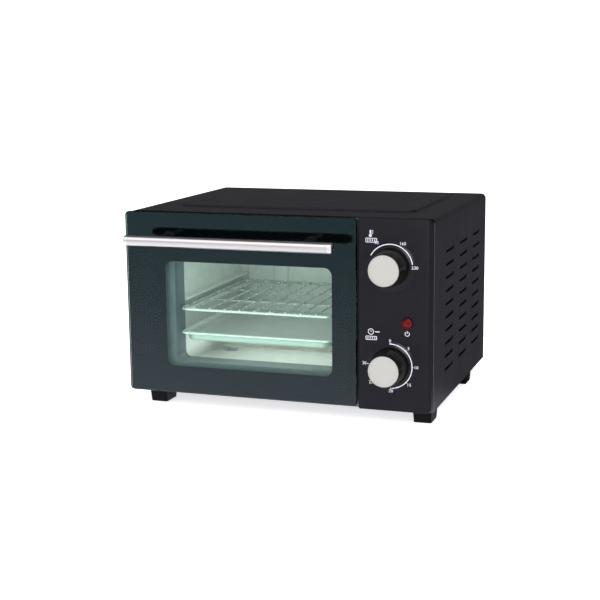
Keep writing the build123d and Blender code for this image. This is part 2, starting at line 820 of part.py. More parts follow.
def hinge_bracket(x, inward):
    """One fixed bracket on the front frame with the running eye for the pin."""
    cheek = (x - 0.7, x + 0.7)
    eye = rod_x(3.2, cheek, hinge_y, hinge_z)
    neck = block(cheek, (hinge_y, frame_front), (hinge_z - 2.6, hinge_z + 3.2))
    riser = block(cheek, (frame_front - 1, frame_front), (hinge_z, base + 28))
    pad = block(
        sorted((x - inward * 0.7, x + inward * 16)), (frame_front - 1, frame_front), (base + 12, base + 28)
    )
    bore = rod_x(pin_radius + running_clearance, (x - 2, x + 2), hinge_y, hinge_z)
    hole = rod_y(1.4, x + inward * 12, (frame_front - 2, frame_front + 1), bracket_screw_z)
    return fuse([eye, neck, riser, pad]) - bore - hole


def door_stay():
    """The quadrant stay that runs through the front frame and stops the open door."""
    def arc_point(radius, angle):
        return (hinge_y + radius * cos(radians(angle)), hinge_z + radius * sin(radians(angle)))

    def ring_sector(inner, outer, start, end, steps):
        angles = [start + (end - start) * step / steps for step in range(steps + 1)]
        outline = [arc_point(outer, angle) for angle in angles]
        outline = outline + [arc_point(inner, angle) for angle in reversed(angles)]
        return profile_x(outline, (stay_x - 0.6, stay_x + 0.6))

    strip = ring_sector(stay_inner, stay_outer, 2, 92, 45)
    hook = ring_sector(stay_inner - 2, stay_outer + 3, 0, 5.5, 2)
    eye_y, eye_z = arc_point((stay_inner + stay_outer) / 2, 2)
    eye = rod_x(1.1, (stay_x - 2, stay_x + 2), eye_y, eye_z)
    link = block(
        (stay_x - 0.6, stay_x + 0.6), (inner_back, hinge_y), (hinge_z + stay_inner + 0.2, hinge_z + stay_outer - 0.2)
    )
    pad = block(
        (stay_x - 6, stay_x + 6), (inner_back, inner_back + 1), (hinge_z + stay_inner - 4, hinge_z + stay_outer + 4)
    )
    return fuse([strip, hook, link, pad]) - eye


def door_spring():
    """The tension spring from the stay's tail to its anchor."""
    start = hinge_y + 55.0 + 7.0
    length = 60.0
    z = spring_z
    path = Helix(pitch=3.0, height=length, radius=3.2, center=(0, 0, 0), direction=(0, 0, 1))
    section = Plane(path @ 0, z_dir=path % 0) * Circle(0.45)
    coil = sweep(section, path=path)
    return Pos(stay_x, start, z) * Rot(-90, 0, 0) * coil


spring_z = hinge_z + 1.9


def spring_anchor():
    """The angle on the base plate that holds the spring's fixed end."""
    y = hinge_y + 55.0 + 7.0 + 60.0 + 6.0
    upright = block((stay_x - 5, stay_x + 5), (y, y + 1.2), (base + sheet, spring_z + 6))
    pad = block((stay_x - 5, stay_x + 5), (y, y + 12), (base + sheet, base + 2 * sheet + 0.4))
    return upright + pad - rod_y(1.2, stay_x, (y - 1, y + 2), spring_z)


def handle_bar():
    """The brushed tube of the door handle."""
    half = handle_length / 2 - 5.0
    tube = rod_x(handle_radius, (handle_middle - half, handle_middle + half), handle_y, handle_z)
    bore_ends = (handle_middle - half - 1, handle_middle + half + 1)
    bore = rod_x(handle_radius - 1, bore_ends, handle_y, handle_z)
    holes = [rod_y(2.0, x, (handle_y, handle_y + 8), handle_z) for x in post_x]
    return tube - bore - holes


def handle_end_cap(side):
    """A polished cap plugged into one end of the handle tube."""
    inner = handle_middle + side * (handle_length / 2 - 5.0)
    outer = handle_middle + side * handle_length / 2
    cap = rod_x(handle_radius, sorted((inner, outer)), handle_y, handle_z)
    end_edge = cap.faces().sort_by(Axis.X)[0 if side < 0 else -1].edges()
    cap = fillet(end_edge, 1.6)
    plug = rod_x(handle_radius - 1, sorted((inner, inner - side * 8)), handle_y, handle_z)
    return cap + plug


def handle_post(x):
    """The moulded stand-off between the glass and the handle tube."""
    post = rod_y(5.2, x, (handle_y + 2.4, glass_front), handle_z)
    flare = turned_y(
        [(5.2, glass_front - 4), (7.0, glass_front), (0, glass_front), (0, glass_front - 4)], x, handle_z
    )
    saddle = rod_x(handle_radius, (x - 9, x + 9), handle_y, handle_z)
    pilot = rod_y(2.0, x, (handle_y, glass_front + 1), handle_z)
    return post + flare - saddle - pilot


def handle_screw(x):
    """The screw from inside the door through the glass and the post into the tube."""
    return pan_screw_y(x, inner_back, handle_z, 3.6, 2.0, inner_back - handle_y - handle_radius + 1.5, -1)


# ---------------------------------------------------------------- wiring
def terminal_block():
    """The moulded connector where the mains cord's cores join the wiring."""
    x = (118.0, 150.0)
    y = (cover_front - 60, cover_front - 44)
    body = block(x, y, (base + sheet, base + 15))
    bores = [rod_y(2.2, 124 + 10 * index, (y[0] - 1, y[1] + 1), base + 9) for index in range(3)]
    wells = [rod_z(1.8, 124 + 10 * index, (y[0] + y[1]) / 2, (base + 10, base + 16)) for index in range(3)]
    return body - bores - wells


def internal_wires():
    """The harness between the terminal block, the controls, the lamp and the heaters."""
    block_y = cover_front - 60
    near, far = [place[0] for place in heater_leg_places()][:2]
    pin_end = terminal_x + 10
    tab_y = frame_back + 35
    timer_y = frame_back + 19
    thermostat_feed = [
        (124, block_y, base + 9),
        (124, block_y - 30, base + 9),
        (control_x - 8, tab_y + 40, temperature_z - 50),
        (control_x - 8, tab_y + 16, temperature_z),
        (control_x - 8, tab_y, temperature_z),
    ]
    thermostat_out = [
        (control_x + 8, tab_y, temperature_z),
        (control_x + 8, tab_y + 16, temperature_z),
        (control_x + 22, tab_y + 22, temperature_z - 50),
        (control_x + 38, timer_y + 20, timer_z + 9),
        (control_x + 38, timer_y, timer_z + 9),
        (control_x + 31, timer_y, timer_z + 9),
    ]
    timer_out = [
        (control_x + 31, timer_y, timer_z - 9),
        (control_x + 38, timer_y, timer_z - 9),
        (control_x + 38, timer_y + 30, timer_z - 12),
        (pin_end + 26, near + 14, heater_low_z + 2),
        (pin_end + 14, near, heater_low_z),
        (pin_end, near, heater_low_z),
    ]
    heater_link = [
        (pin_end, far, heater_low_z),
        (pin_end + 12, far, heater_low_z),
        (pin_end + 12, far, heater_high_z),
        (pin_end, far, heater_high_z),
    ]
    neutral = [
        (134, block_y, base + 9),
        (134, block_y - 20, base + 9),
        (pin_end + 40, near + 20, base + 60),
        (pin_end + 14, near, heater_high_z),
        (pin_end, near, heater_high_z),
    ]
    lamp_wires = [
        [
            (lamp_x + side * 2, front + 31, lamp_z),
            (lamp_x + side * 2, front + 38, lamp_z),
            (lamp_x + side * 4, front + 50, lamp_z + 26),
        ]
        for side in (-1, 1)
    ]
    mains = [bent_rod(points, 1.2, 4) for points in (thermostat_feed, thermostat_out, timer_out, heater_link, neutral)]
    return mains + [bent_rod(points, 0.8, 3) for points in lamp_wires]


def thermal_fuse():
    """The one-shot fuse strapped to the cavity's side."""
    x = cavity_right + sheet
    body = rod_y(2.0, x + 2.4, (cavity_back - 60, cavity_back - 48), base + 110)
    strap = block((x, x + 3), (cavity_back - 56, cavity_back - 52), (base + 104, base + 116))
    return body + strap


# ---------------------------------------------------------------- write every node
sides = ((0, 1), (1, -1))

save("outer_shell", outer_shell())
save("base_plate", base_plate())
save("rear_cover", rear_cover())
save("feet", *[foot(x, y) for x, y in foot_places()])
save("foot_screws", *[foot_screw(x, y) for x, y in foot_places()])
save("cover_screws", *[pan_screw_y(x, rear, z, 3.2, 1.7, 6, -1) for x, z in cover_screw_places()])
save("cord_gland", cord_gland())
save("front_frame", front_frame())
save("cavity_liner", cavity_liner())
save("cavity_back_panel", cavity_back_panel())
save("lower_heating_element", heating_element(heater_low_z))
save("upper_heating_element", heating_element(heater_high_z))
save("heater_bushes", *[heater_bush(y, z) for y, z in heater_leg_places()])
save("heater_clips", heater_clip(heater_low_z, cavity_floor), heater_clip(heater_high_z, cavity_roof))
save("control_panel", control_panel())
save("panel_screws", *[pan_screw_y(x, frame_back, z, 2.8, 1.3, 5, -1) for x, z in panel_screw_places])
save("pilot_lamp_housing", pilot_lamp_housing())
save("pilot_lamp_lens", pilot_lamp_lens())
save("thermostat_body", thermostat_body())
save("timer_body", timer_body())
save("timer_bell", timer_bell())
save(
    "control_screws",
    *[
        pan_screw_y(control_x + side * control_screw_offset, frame_front, z, 2.9, 1.6, 6, 1)
        for side in (-1, 1)
        for z in (temperature_z, timer_z)
    ],
)
save("hinge_brackets", *[hinge_bracket(bracket_x[index], inward) for index, inward in sides])
save(
    "hinge_bracket_screws",
    *[pan_screw_y(x, frame_front - 1, bracket_screw_z, 2.5, 1.4, 6, 1) for x in bracket_screw_x],
)
save("spring_anchor", spring_anchor())
save("door_spring", door_spring())
save("terminal_block", terminal_block())
save("internal_wires", *internal_wires())
save("thermal_fuse", thermal_fuse())

save("wire_rack", wire_rack())
save("baking_tray", baking_tray())

save("thermostat_shaft", control_shaft(temperature_z))
save("temperature_knob", knob(temperature_z))
save("temperature_knob_cap", knob_cap(temperature_z))
save("timer_shaft", control_shaft(timer_z))
save("timer_knob", knob(timer_z))
save("timer_knob_cap", knob_cap(timer_z))

save("door_glass", door_glass())
save("door_inner_frame", door_inner_frame())
save("door_hinge_ears", *[hinge_ear(ear_x[index], inward) for index, inward in sides])
save("hinge_pins", *[hinge_pin(ear_x[index], inward) for index, inward in sides])
save("door_stay", door_stay())
save("handle_bar", handle_bar())
save("handle_end_caps", handle_end_cap(-1), handle_end_cap(1))
save("handle_posts", *[handle_post(x) for x in post_x])
save("handle_screws", *[handle_screw(x) for x in post_x])
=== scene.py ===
import math

import bmesh
import bpy
from mathutils import Matrix, Vector


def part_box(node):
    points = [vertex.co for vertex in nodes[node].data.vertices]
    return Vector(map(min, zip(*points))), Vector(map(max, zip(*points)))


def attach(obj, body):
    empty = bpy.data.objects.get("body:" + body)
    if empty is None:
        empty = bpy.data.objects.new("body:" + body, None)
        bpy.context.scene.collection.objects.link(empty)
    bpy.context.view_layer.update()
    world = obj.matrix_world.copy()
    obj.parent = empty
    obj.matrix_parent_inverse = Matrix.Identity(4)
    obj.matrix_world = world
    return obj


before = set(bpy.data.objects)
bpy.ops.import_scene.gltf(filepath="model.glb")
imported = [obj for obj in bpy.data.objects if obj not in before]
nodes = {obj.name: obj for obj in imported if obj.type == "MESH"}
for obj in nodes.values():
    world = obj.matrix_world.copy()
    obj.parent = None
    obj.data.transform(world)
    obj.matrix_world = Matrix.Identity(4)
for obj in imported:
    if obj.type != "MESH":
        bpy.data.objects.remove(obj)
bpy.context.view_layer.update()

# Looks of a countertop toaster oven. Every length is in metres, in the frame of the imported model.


# ---------------------------------------------------------------- sizes that the frame doesn't give
# The panel's raised dial rings: radius at the foot and at the crest, and height.
ring_foot = 0.028
ring_crest = 0.022
ring_height = 0.0011

# The print on the panel.
arc_radius = 0.0248
tick_inner = 0.0240
tick_outer = 0.0262
label_height = 0.0034
arc_width = 0.0009
thin = 0.0006


# ---------------------------------------------------------------- where things are
def centre(name):
    low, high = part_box(name)
    return (Vector(low) + Vector(high)) / 2


panel_low, panel_high = (Vector(corner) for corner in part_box("control_panel"))
glass_low, glass_high = (Vector(corner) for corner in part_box("door_glass"))
shell_low = Vector(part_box("outer_shell")[0])
front_y = panel_low.y + ring_height
body_left = shell_low.x
body_base = shell_low.z
tray_high = Vector(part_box("baking_tray")[1])
rack_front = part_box("wire_rack")[0][1]
cover_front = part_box("rear_cover")[0][1]
knob_x = centre("temperature_knob").x
temperature_z = centre("temperature_knob").z
timer_z = centre("timer_knob").z
lamp = centre("pilot_lamp_lens")


# ---------------------------------------------------------------- node helpers
class Nodes:
    """A short way to write a material's node tree."""

    def __init__(self, name):
        self.material = bpy.data.materials.new(name)
        self.material.use_nodes = True
        self.tree = self.material.node_tree
        self.tree.nodes.clear()
        self.output = self.add("ShaderNodeOutputMaterial")

    def add(self, kind, **settings):
        node = self.tree.nodes.new(kind)
        for key, value in settings.items():
            setattr(node, key, value)
        return node

    def link(self, source, target):
        self.tree.links.new(source, target)

    def position(self, scale=(1, 1, 1)):
        """Object coordinates in metres, times a scale for each axis."""
        where = self.add("ShaderNodeTexCoord")
        mapping = self.add("ShaderNodeMapping")
        mapping.inputs["Scale"].default_value = scale
        self.link(where.outputs["Object"], mapping.inputs["Vector"])
        return mapping.outputs["Vector"]

    def noise(self, size, detail=3.0, roughness=0.5, stretch=(1, 1, 1)):
        """Noise whose blobs are about size metres across."""
        texture = self.add("ShaderNodeTexNoise")
        texture.inputs["Scale"].default_value = 1.0 / size
        texture.inputs["Detail"].default_value = detail
        texture.inputs["Roughness"].default_value = roughness
        self.link(self.position(stretch), texture.inputs["Vector"])
        return texture.outputs["Fac"]

    def ramp(self, factor, low, high, start=0.3, end=0.7):
        """Maps a 0 to 1 factor between two numbers."""
        node = self.add("ShaderNodeMapRange")
        node.inputs["From Min"].default_value = start
        node.inputs["From Max"].default_value = end
        node.inputs["To Min"].default_value = low
        node.inputs["To Max"].default_value = high
        self.link(factor, node.inputs["Value"])
        return node.outputs["Result"]

    def blend(self, factor, first, second):
        """Mixes two colours, each a tuple or a socket."""
        node = self.add("ShaderNodeMix", data_type="RGBA")
        self.feed(factor, node.inputs[0])
        self.feed(first, node.inputs[6])
        self.feed(second, node.inputs[7])
        return node.outputs[2]

    def feed(self, value, socket):
        if isinstance(value, bpy.types.NodeSocket):
            self.link(value, socket)
        elif isinstance(value, tuple) and len(value) == 3 and socket.type == "RGBA":
            socket.default_value = (*value, 1.0)
        else:
            socket.default_value = value

    def math(self, operation, first, second=0.0):
        node = self.add("ShaderNodeMath", operation=operation)
        self.feed(first, node.inputs[0])
        self.feed(second, node.inputs[1])
        return node.outputs[0]

    def bump(self, height, strength, distance, under=None):
        node = self.add("ShaderNodeBump")
        node.inputs["Strength"].default_value = strength
        node.inputs["Distance"].default_value = distance
        self.link(height, node.inputs["Height"])
        if under is not None:
            self.link(under, node.inputs["Normal"])
        return node.outputs["Normal"]

    def axis(self, output, name):
        """One component of the object coordinates or of the object's own normal."""
        where = self.add("ShaderNodeTexCoord")
        parts = self.add("ShaderNodeSeparateXYZ")
        self.link(where.outputs[output], parts.inputs["Vector"])
        return parts.outputs[name]

    def surface(self, colour, roughness, normal=None, **values):
        """A Principled surface on the output. Values name its other sockets with _ for spaces."""
        shader = self.add("ShaderNodeBsdfPrincipled")
        self.feed(colour, shader.inputs["Base Color"])
        self.feed(roughness, shader.inputs["Roughness"])
        if normal is not None:
            self.link(normal, shader.inputs["Normal"])
        for key, value in values.items():
            self.feed(value, shader.inputs[key.replace("_", " ")])
        self.link(shader.outputs["BSDF"], self.output.inputs["Surface"])
        return self.material


# ---------------------------------------------------------------- materials
def powder_coat(
    name, colour, lighter, roughness, grain=0.0006, strength=0.25, shine=0.25, painted_edge_light_and_shade=False
):
    """Baked paint with orange peel. The shell's front edge also has a painted highlight, and its top a
    painted black shadow strip just behind that edge.
    """
    n = Nodes(name)
    fine = n.noise(grain, 2.0, 0.6)
    broad = n.noise(0.035, 3.0, 0.55)
    tone = n.blend(n.ramp(broad, 0.0, 1.0), colour, lighter)
    if painted_edge_light_and_shade:
        # Painted highlight: the shell's front edge is made lighter in colour.
        near = n.ramp(n.axis("Object", "Y"), 1.0, 0.0, shell_low.y + 0.0006, shell_low.y + 0.0011)
        tone = n.blend(near, tone, (0.060, 0.058, 0.066))
        # Painted shade: a near-black, dull strip on the top just behind the front edge stands in for the
        # shadow gap above the panel.
        painted_shade_strip = n.ramp(n.axis("Object", "Y"), 1.0, 0.0, shell_low.y + 0.0065, shell_low.y + 0.0075)
        painted_shade_strip = n.math("MULTIPLY", painted_shade_strip, n.ramp(n.axis("Normal", "Z"), 0.0, 1.0, 0.3, 0.5))
        tone = n.blend(painted_shade_strip, tone, (0.0004, 0.0004, 0.0005))
        shine = n.ramp(painted_shade_strip, shine, 0.02, 0.0, 1.0)
    normal = n.bump(fine, strength, 0.00005)
    normal = n.bump(n.noise(0.004, 2.0, 0.5), 0.10, 0.0001, normal)
    rough = n.math("ADD", n.ramp(broad, roughness - 0.03, roughness + 0.04), n.ramp(fine, -0.03, 0.03))
    return n.surface(tone, rough, normal, Specular_IOR_Level=shine)


def moulded_plastic(name, colour, lighter, roughness, grain=0.0004, strength=0.3, **extra):
    """Moulded plastic with a fine spark-eroded grain."""
    n = Nodes(name)
    cells = n.add("ShaderNodeTexVoronoi")
    cells.inputs["Scale"].default_value = 1.0 / grain
    n.link(n.position(), cells.inputs["Vector"])
    broad = n.noise(0.02, 3.0, 0.5)
    tone = n.blend(n.ramp(broad, 0.0, 1.0), colour, lighter)
    normal = n.bump(cells.outputs["Distance"], strength, 0.00004)
    rough = n.ramp(broad, roughness - 0.03, roughness + 0.04)
    return n.surface(tone, rough, normal, **extra)


def panel_plastic(name):
    """Satin black ABS: glossier dial rings, a crowned right edge, and a painted black shadow gap where it
    meets the shell.
    """
    n = Nodes(name)
    cells = n.add("ShaderNodeTexVoronoi")
    cells.inputs["Scale"].default_value = 1.0 / 0.00035
    n.link(n.position(), cells.inputs["Vector"])
    broad = n.noise(0.02, 3.0, 0.5)
    depth = n.axis("Object", "Y")
    ring = n.ramp(depth, 1.0, 0.0, front_y - 0.0002, front_y - 0.00005)
    # Painted shade: the panel's top and right returns, where it meets the shell, are near-black and dull
    # like a shadow gap.
    painted_shadow_gap = n.ramp(depth, 0.0, 1.0, front_y + 0.0030, front_y + 0.0034)
    tone = n.blend(n.ramp(broad, 0.0, 1.0), (0.0028, 0.0024, 0.0054), (0.0038, 0.0033, 0.0066))
    tone = n.blend(painted_shadow_gap, tone, (0.0003, 0.0003, 0.0004))
    rough = n.math("SUBTRACT", n.ramp(broad, 0.31, 0.38), n.math("MULTIPLY", ring, 0.12))
    shine = n.math("MULTIPLY", n.ramp(ring, 0.185, 0.25, 0.0, 1.0), n.ramp(painted_shadow_gap, 1.0, 0.05, 0.0, 1.0))
    edge = n.ramp(n.axis("Object", "X"), 0.0, 1.0, panel_high.x - 0.0065, panel_high.x - 0.0008)
    crown = n.math("MULTIPLY", n.math("MULTIPLY", edge, edge), -0.0014)
    normal = n.bump(cells.outputs["Distance"], 0.12, 0.00004, n.bump(crown, 1.0, 1.0))
    return n.surface(tone, rough, normal, Specular_IOR_Level=shine)


def brushed_metal(
    name, colour, darker, roughness, along, fine=0.00035, long=0.05, metallic=1.0, depth=0.00003,
    painted_shaded_back=False
):
    """Brushed metal whose scratches run along one axis, 0, 1 or 2, and whose far side may be darkened with
    painted shade.
    """
    n = Nodes(name)
    stretch = [1.0, 1.0, 1.0]
    stretch[along] = fine / long
    hair = n.noise(fine, 4.0, 0.65, tuple(stretch))
    stretch[along] = 0.12
    band = n.noise(0.004, 2.0, 0.5, tuple(stretch))
    tone = n.blend(n.ramp(hair, 0.0, 1.0, 0.25, 0.75), darker, colour)
    rough = n.math("ADD", n.ramp(hair, roughness - 0.06, roughness + 0.08), n.ramp(band, -0.03, 0.04))
    if painted_shaded_back:
        # Painted shade: faces turned towards +Y, the back of the part, are darkened in colour.
        behind = n.ramp(n.axis("Normal", "Y"), 0.0, 1.0, 0.1, 0.5)
        tone = n.blend(behind, tone, (0.10, 0.10, 0.10))
    normal = n.bump(hair, 0.25, depth)
    return n.surface(tone, rough, normal, Metallic=metallic)


def galvanised(name, colour, darker, lighter, roughness, metallic=0.85, crystal=0.007):
    """Zinc-coated sheet: faint crystals, rolling marks and heat-dulled patches."""
    n = Nodes(name)
    cells = n.add("ShaderNodeTexVoronoi")
    cells.inputs["Scale"].default_value = 1.0 / crystal
    n.link(n.position(), cells.inputs["Vector"])
    grey = n.add("ShaderNodeSeparateColor")
    n.link(cells.outputs["Color"], grey.inputs["Color"])
    patch = n.noise(0.03, 4.0, 0.6)
    rolled = n.noise(0.0008, 3.0, 0.6, (1.0, 0.06, 1.0))
    tone = n.blend(n.ramp(grey.outputs[0], 0.0, 0.6, 0.0, 1.0), colour, lighter)
    tone = n.blend(n.ramp(patch, 0.0, 0.55, 0.45, 0.8), tone, darker)
    rough = n.math(
        "ADD", n.ramp(grey.outputs[1], roughness - 0.05, roughness + 0.07, 0.0, 1.0),
        n.ramp(patch, 0.0, 0.1)
    )
    normal = n.bump(rolled, 0.15, 0.00005)
    return n.surface(tone, rough, normal, Metallic=metallic)


def baked_tray(name):
    """A dull pressed aluminium tray with bake-on haze and a painted highlight on its rolled rim."""
    n = Nodes(name)
    hair = n.noise(0.0006, 4.0, 0.65, (0.02, 1.0, 1.0))
    patch = n.noise(0.02, 4.0, 0.6)
    tone = n.blend(n.ramp(hair, 0.0, 1.0), (0.64, 0.65, 0.64), (0.72, 0.73, 0.72))
    tone = n.blend(n.ramp(patch, 0.0, 0.5, 0.5, 0.8), tone, (0.55, 0.54, 0.51))
    # Painted highlight: a near-white band along the top of the rim.
    rim = n.ramp(n.axis("Object", "Z"), 0.0, 1.0, tray_high.z - 0.0021, tray_high.z - 0.0015)
    tone = n.blend(rim, tone, (0.98, 0.95, 0.96))
    rough = n.ramp(rim, 0.45, 0.22, 0.0, 1.0)
    return n.surface(tone, rough, n.bump(hair, 0.2, 0.00003), Metallic=0.45)


def plated_wire(name):
    """Chromed wire with dull patches and a painted highlight on the front rod."""
    n = Nodes(name)
    patch = n.noise(0.012, 4.0, 0.6)
    tone = n.blend(n.ramp(patch, 0.0, 0.5, 0.5, 0.8), (0.62, 0.62, 0.62), (0.48, 0.47, 0.46))
    # Painted highlight: the front rod is near-white in colour.
    front = n.ramp(n.axis("Object", "Y"), 1.0, 0.0, rack_front + 0.0036, rack_front + 0.0042)
    tone = n.blend(front, tone, (0.99, 0.94, 0.97))
    rough = n.ramp(patch, 0.20, 0.34)
    return n.surface(tone, rough, n.bump(n.noise(0.0006, 2.0), 0.1, 0.00003), Metallic=0.65)


def heater_sheath(name):
    """A tubular heater's dull oxidised sheath."""
    n = Nodes(name)
    patch = n.noise(0.01, 5.0, 0.65)
    fine = n.noise(0.0006, 3.0, 0.6)
    tone = n.blend(n.ramp(patch, 0.0, 1.0), (0.20, 0.19, 0.18), (0.36, 0.33, 0.29))
    return n.surface(tone, n.ramp(fine, 0.42, 0.58), n.bump(fine, 0.3, 0.00005), Metallic=0.8)


def glazed_ceramic(name, colour, darker):
    """Pressed ceramic with fine specks."""
    n = Nodes(name)
    fine = n.noise(0.0007, 3.0, 0.7)
    tone = n.blend(n.ramp(fine, 0.0, 0.7, 0.5, 0.8), colour, darker)
    return n.surface(tone, n.ramp(fine, 0.5, 0.65), n.bump(fine, 0.2, 0.00006))


def printed_ink(name, colour):
    """Screen-printed ink with slightly uneven cover."""
    n = Nodes(name)
    fine = n.noise(0.0003, 2.0, 0.6)
    tone = n.blend(n.ramp(fine, 0.0, 1.0), colour, tuple(channel * 0.9 for channel in colour))
    return n.surface(tone, n.ramp(fine, 0.45, 0.6), n.bump(fine, 0.1, 0.00001))


def fired_print(name):
    """The near-black ceramic print behind the door glass."""
    n = Nodes(name)
    broad = n.noise(0.05, 2.0, 0.5)
    tone = n.blend(n.ramp(broad, 0.0, 1.0), (0.0009, 0.0013, 0.0015), (0.0013, 0.0019, 0.0021))
    rough = n.ramp(broad, 0.50, 0.62)
    return n.surface(tone, rough, Specular_IOR_Level=0.0)


def pane_glass(name, tint, roughness=0.003):
    """Flat glass: a tinted view straight through under a teal reflection painted paler low down and darker
    high up, with dark ground edges.
    """
    n = Nodes(name)
    smear = n.noise(0.03, 4.0, 0.6)
    facing = n.math("ABSOLUTE", n.axis("Normal", "Y"))
    flat = n.ramp(facing, 0.0, 1.0, 0.55, 0.75)
    through = n.add("ShaderNodeBsdfTransparent")
    clear = n.blend(n.ramp(smear, 0.0, 1.0), tint, tuple(channel * 0.985 for channel in tint))
    n.feed(n.blend(flat, (0.010, 0.016, 0.017), clear), through.inputs["Color"])
    # Painted reflection: the mirror's colour runs from pale blue at the bottom of the pane to darker teal
    # at the top.
    height = n.ramp(n.axis("Object", "Z"), 0.0, 1.0, glass_low.z, glass_high.z)
    mirror = n.add("ShaderNodeBsdfGlossy")
    painted_reflection_tone = n.blend(height, (0.78, 0.93, 1.0), (0.42, 0.73, 0.78))
    n.feed(n.blend(flat, (0.10, 0.12, 0.12), painted_reflection_tone), mirror.inputs["Color"])
    n.feed(n.ramp(smear, roughness, roughness * 2.2), mirror.inputs["Roughness"])
    share = n.add("ShaderNodeFresnel")
    share.inputs["IOR"].default_value = 1.52
    side = n.add("ShaderNodeNewGeometry")
    entering = n.math("SUBTRACT", 1.0, side.outputs["Backfacing"])
    mix = n.add("ShaderNodeMixShader")
    n.link(n.math("MULTIPLY", share.outputs["Fac"], entering), mix.inputs["Fac"])
    n.link(through.outputs["BSDF"], mix.inputs[1])
    n.link(mirror.outputs["BSDF"], mix.inputs[2])
    n.link(mix.outputs["Shader"], n.output.inputs["Surface"])
    return n.material


def jewel(name):
    """Dark red moulded plastic with pressed facets, like the lens of a lamp that is off."""
    n = Nodes(name)
    cells = n.add("ShaderNodeTexVoronoi")
    cells.inputs["Scale"].default_value = 1.0 / 0.0032
    n.link(n.position(), cells.inputs["Vector"])
    grey = n.add("ShaderNodeSeparateColor")
    n.link(cells.outputs["Color"], grey.inputs["Color"])
    tone = n.blend(
        n.ramp(grey.outputs[0], 0.0, 1.0, 0.0, 1.0), (0.045, 0.0025, 0.003), (0.15, 0.006, 0.007)
    )
    normal = n.bump(cells.outputs["Distance"], 0.35, 0.0006)
    return n.surface(tone, n.ramp(grey.outputs[1], 0.10, 0.18), normal, Specular_IOR_Level=0.14)


def knob_face(name):
    """Satin silver foil with a spun grain round each knob's own centre."""
    n = Nodes(name)
    where = n.add("ShaderNodeTexCoord")
    parts = n.add("ShaderNodeSeparateXYZ")
    n.link(where.outputs["Object"], parts.inputs["Vector"])
    across = n.math("SUBTRACT", parts.outputs["X"], knob_x)
    upper = n.math("SUBTRACT", parts.outputs["Z"], temperature_z)
    lower = n.math("SUBTRACT", parts.outputs["Z"], timer_z)
    up = n.math("MINIMUM", n.math("ABSOLUTE", upper), n.math("ABSOLUTE", lower))
    radius = n.math("SQRT", n.math("ADD", n.math("MULTIPLY", across, across), n.math("MULTIPLY", up, up)))
    ring = n.add("ShaderNodeTexNoise", noise_dimensions="1D")
    ring.inputs["Scale"].default_value = 5200.0
    ring.inputs["Detail"].default_value = 2.0
    n.link(radius, ring.inputs["W"])
    broad = n.noise(0.01, 2.0, 0.5)
    tone = n.blend(n.ramp(ring.outputs["Fac"], 0.0, 1.0), (0.354, 0.345, 0.318), (0.407, 0.397, 0.369))
    rough = n.math("ADD", n.ramp(ring.outputs["Fac"], 0.36, 0.46), n.ramp(broad, -0.02, 0.03))
    return n.surface(tone, rough, n.bump(ring.outputs["Fac"], 0.12, 0.00002), Metallic=0.35)


BLACK_PAINT = powder_coat(
    "black_powder_coat", (0.0050, 0.0046, 0.0082), (0.0066, 0.0062, 0.0102), 0.40, shine=0.22,
    painted_edge_light_and_shade=True
)
DARK_PAINT = powder_coat(
    "black_back_paint", (0.0060, 0.0060, 0.0070), (0.0085, 0.0084, 0.0095), 0.48, 0.0008
)
SCREW_PAINT = brushed_metal(
    "black_zinc_screws", (0.10, 0.10, 0.105), (0.05, 0.05, 0.052), 0.35, 1, 0.0004, 0.004
)
PANEL = panel_plastic("panel_black_abs")
# Black plastic for the sheet that stands in for the shade inside the control bay.
SHADE_SHEET = moulded_plastic(
    "shade_sheet_black", (0.004, 0.004, 0.004), (0.006, 0.006, 0.006), 0.7, 0.0009, 0.6,
    Specular_IOR_Level=0.1
)
FOOT = moulded_plastic(
    "foot_black_plastic", (0.0018, 0.0018, 0.0021), (0.0030, 0.0030, 0.0034), 0.50, 0.0006, 0.45,
    Specular_IOR_Level=0.12
)
POST = moulded_plastic(
    "post_black_plastic", (0.0030, 0.0030, 0.0032), (0.0045, 0.0045, 0.0048), 0.24, 0.0005, 0.1,
    Specular_IOR_Level=0.35
)
KNOB = moulded_plastic(
    "knob_black_abs", (0.0050, 0.0054, 0.0032), (0.0068, 0.0072, 0.0046), 0.30, 0.0004, 0.12,
    Specular_IOR_Level=0.20
)
PHENOLIC = moulded_plastic("phenolic_brown", (0.020, 0.013, 0.010), (0.030, 0.020, 0.015), 0.5, 0.0006, 0.2)
NYLON = moulded_plastic("grey_nylon", (0.22, 0.22, 0.21), (0.27, 0.27, 0.26), 0.45, 0.0006, 0.2)
SLEEVE = moulded_plastic("silicone_sleeve", (0.030, 0.030, 0.033), (0.045, 0.045, 0.048), 0.55, 0.0008, 0.4)
BLACK_ZINC = galvanised(
    "black_passivated_zinc", (0.07, 0.07, 0.07), (0.04, 0.04, 0.04), (0.10, 0.10, 0.10), 0.42, 0.8,
    0.003
)
ZINC = galvanised(
    "zinc_plate", (0.52, 0.53, 0.53), (0.30, 0.30, 0.30), (0.62, 0.63, 0.62), 0.34, 0.95, 0.003
)
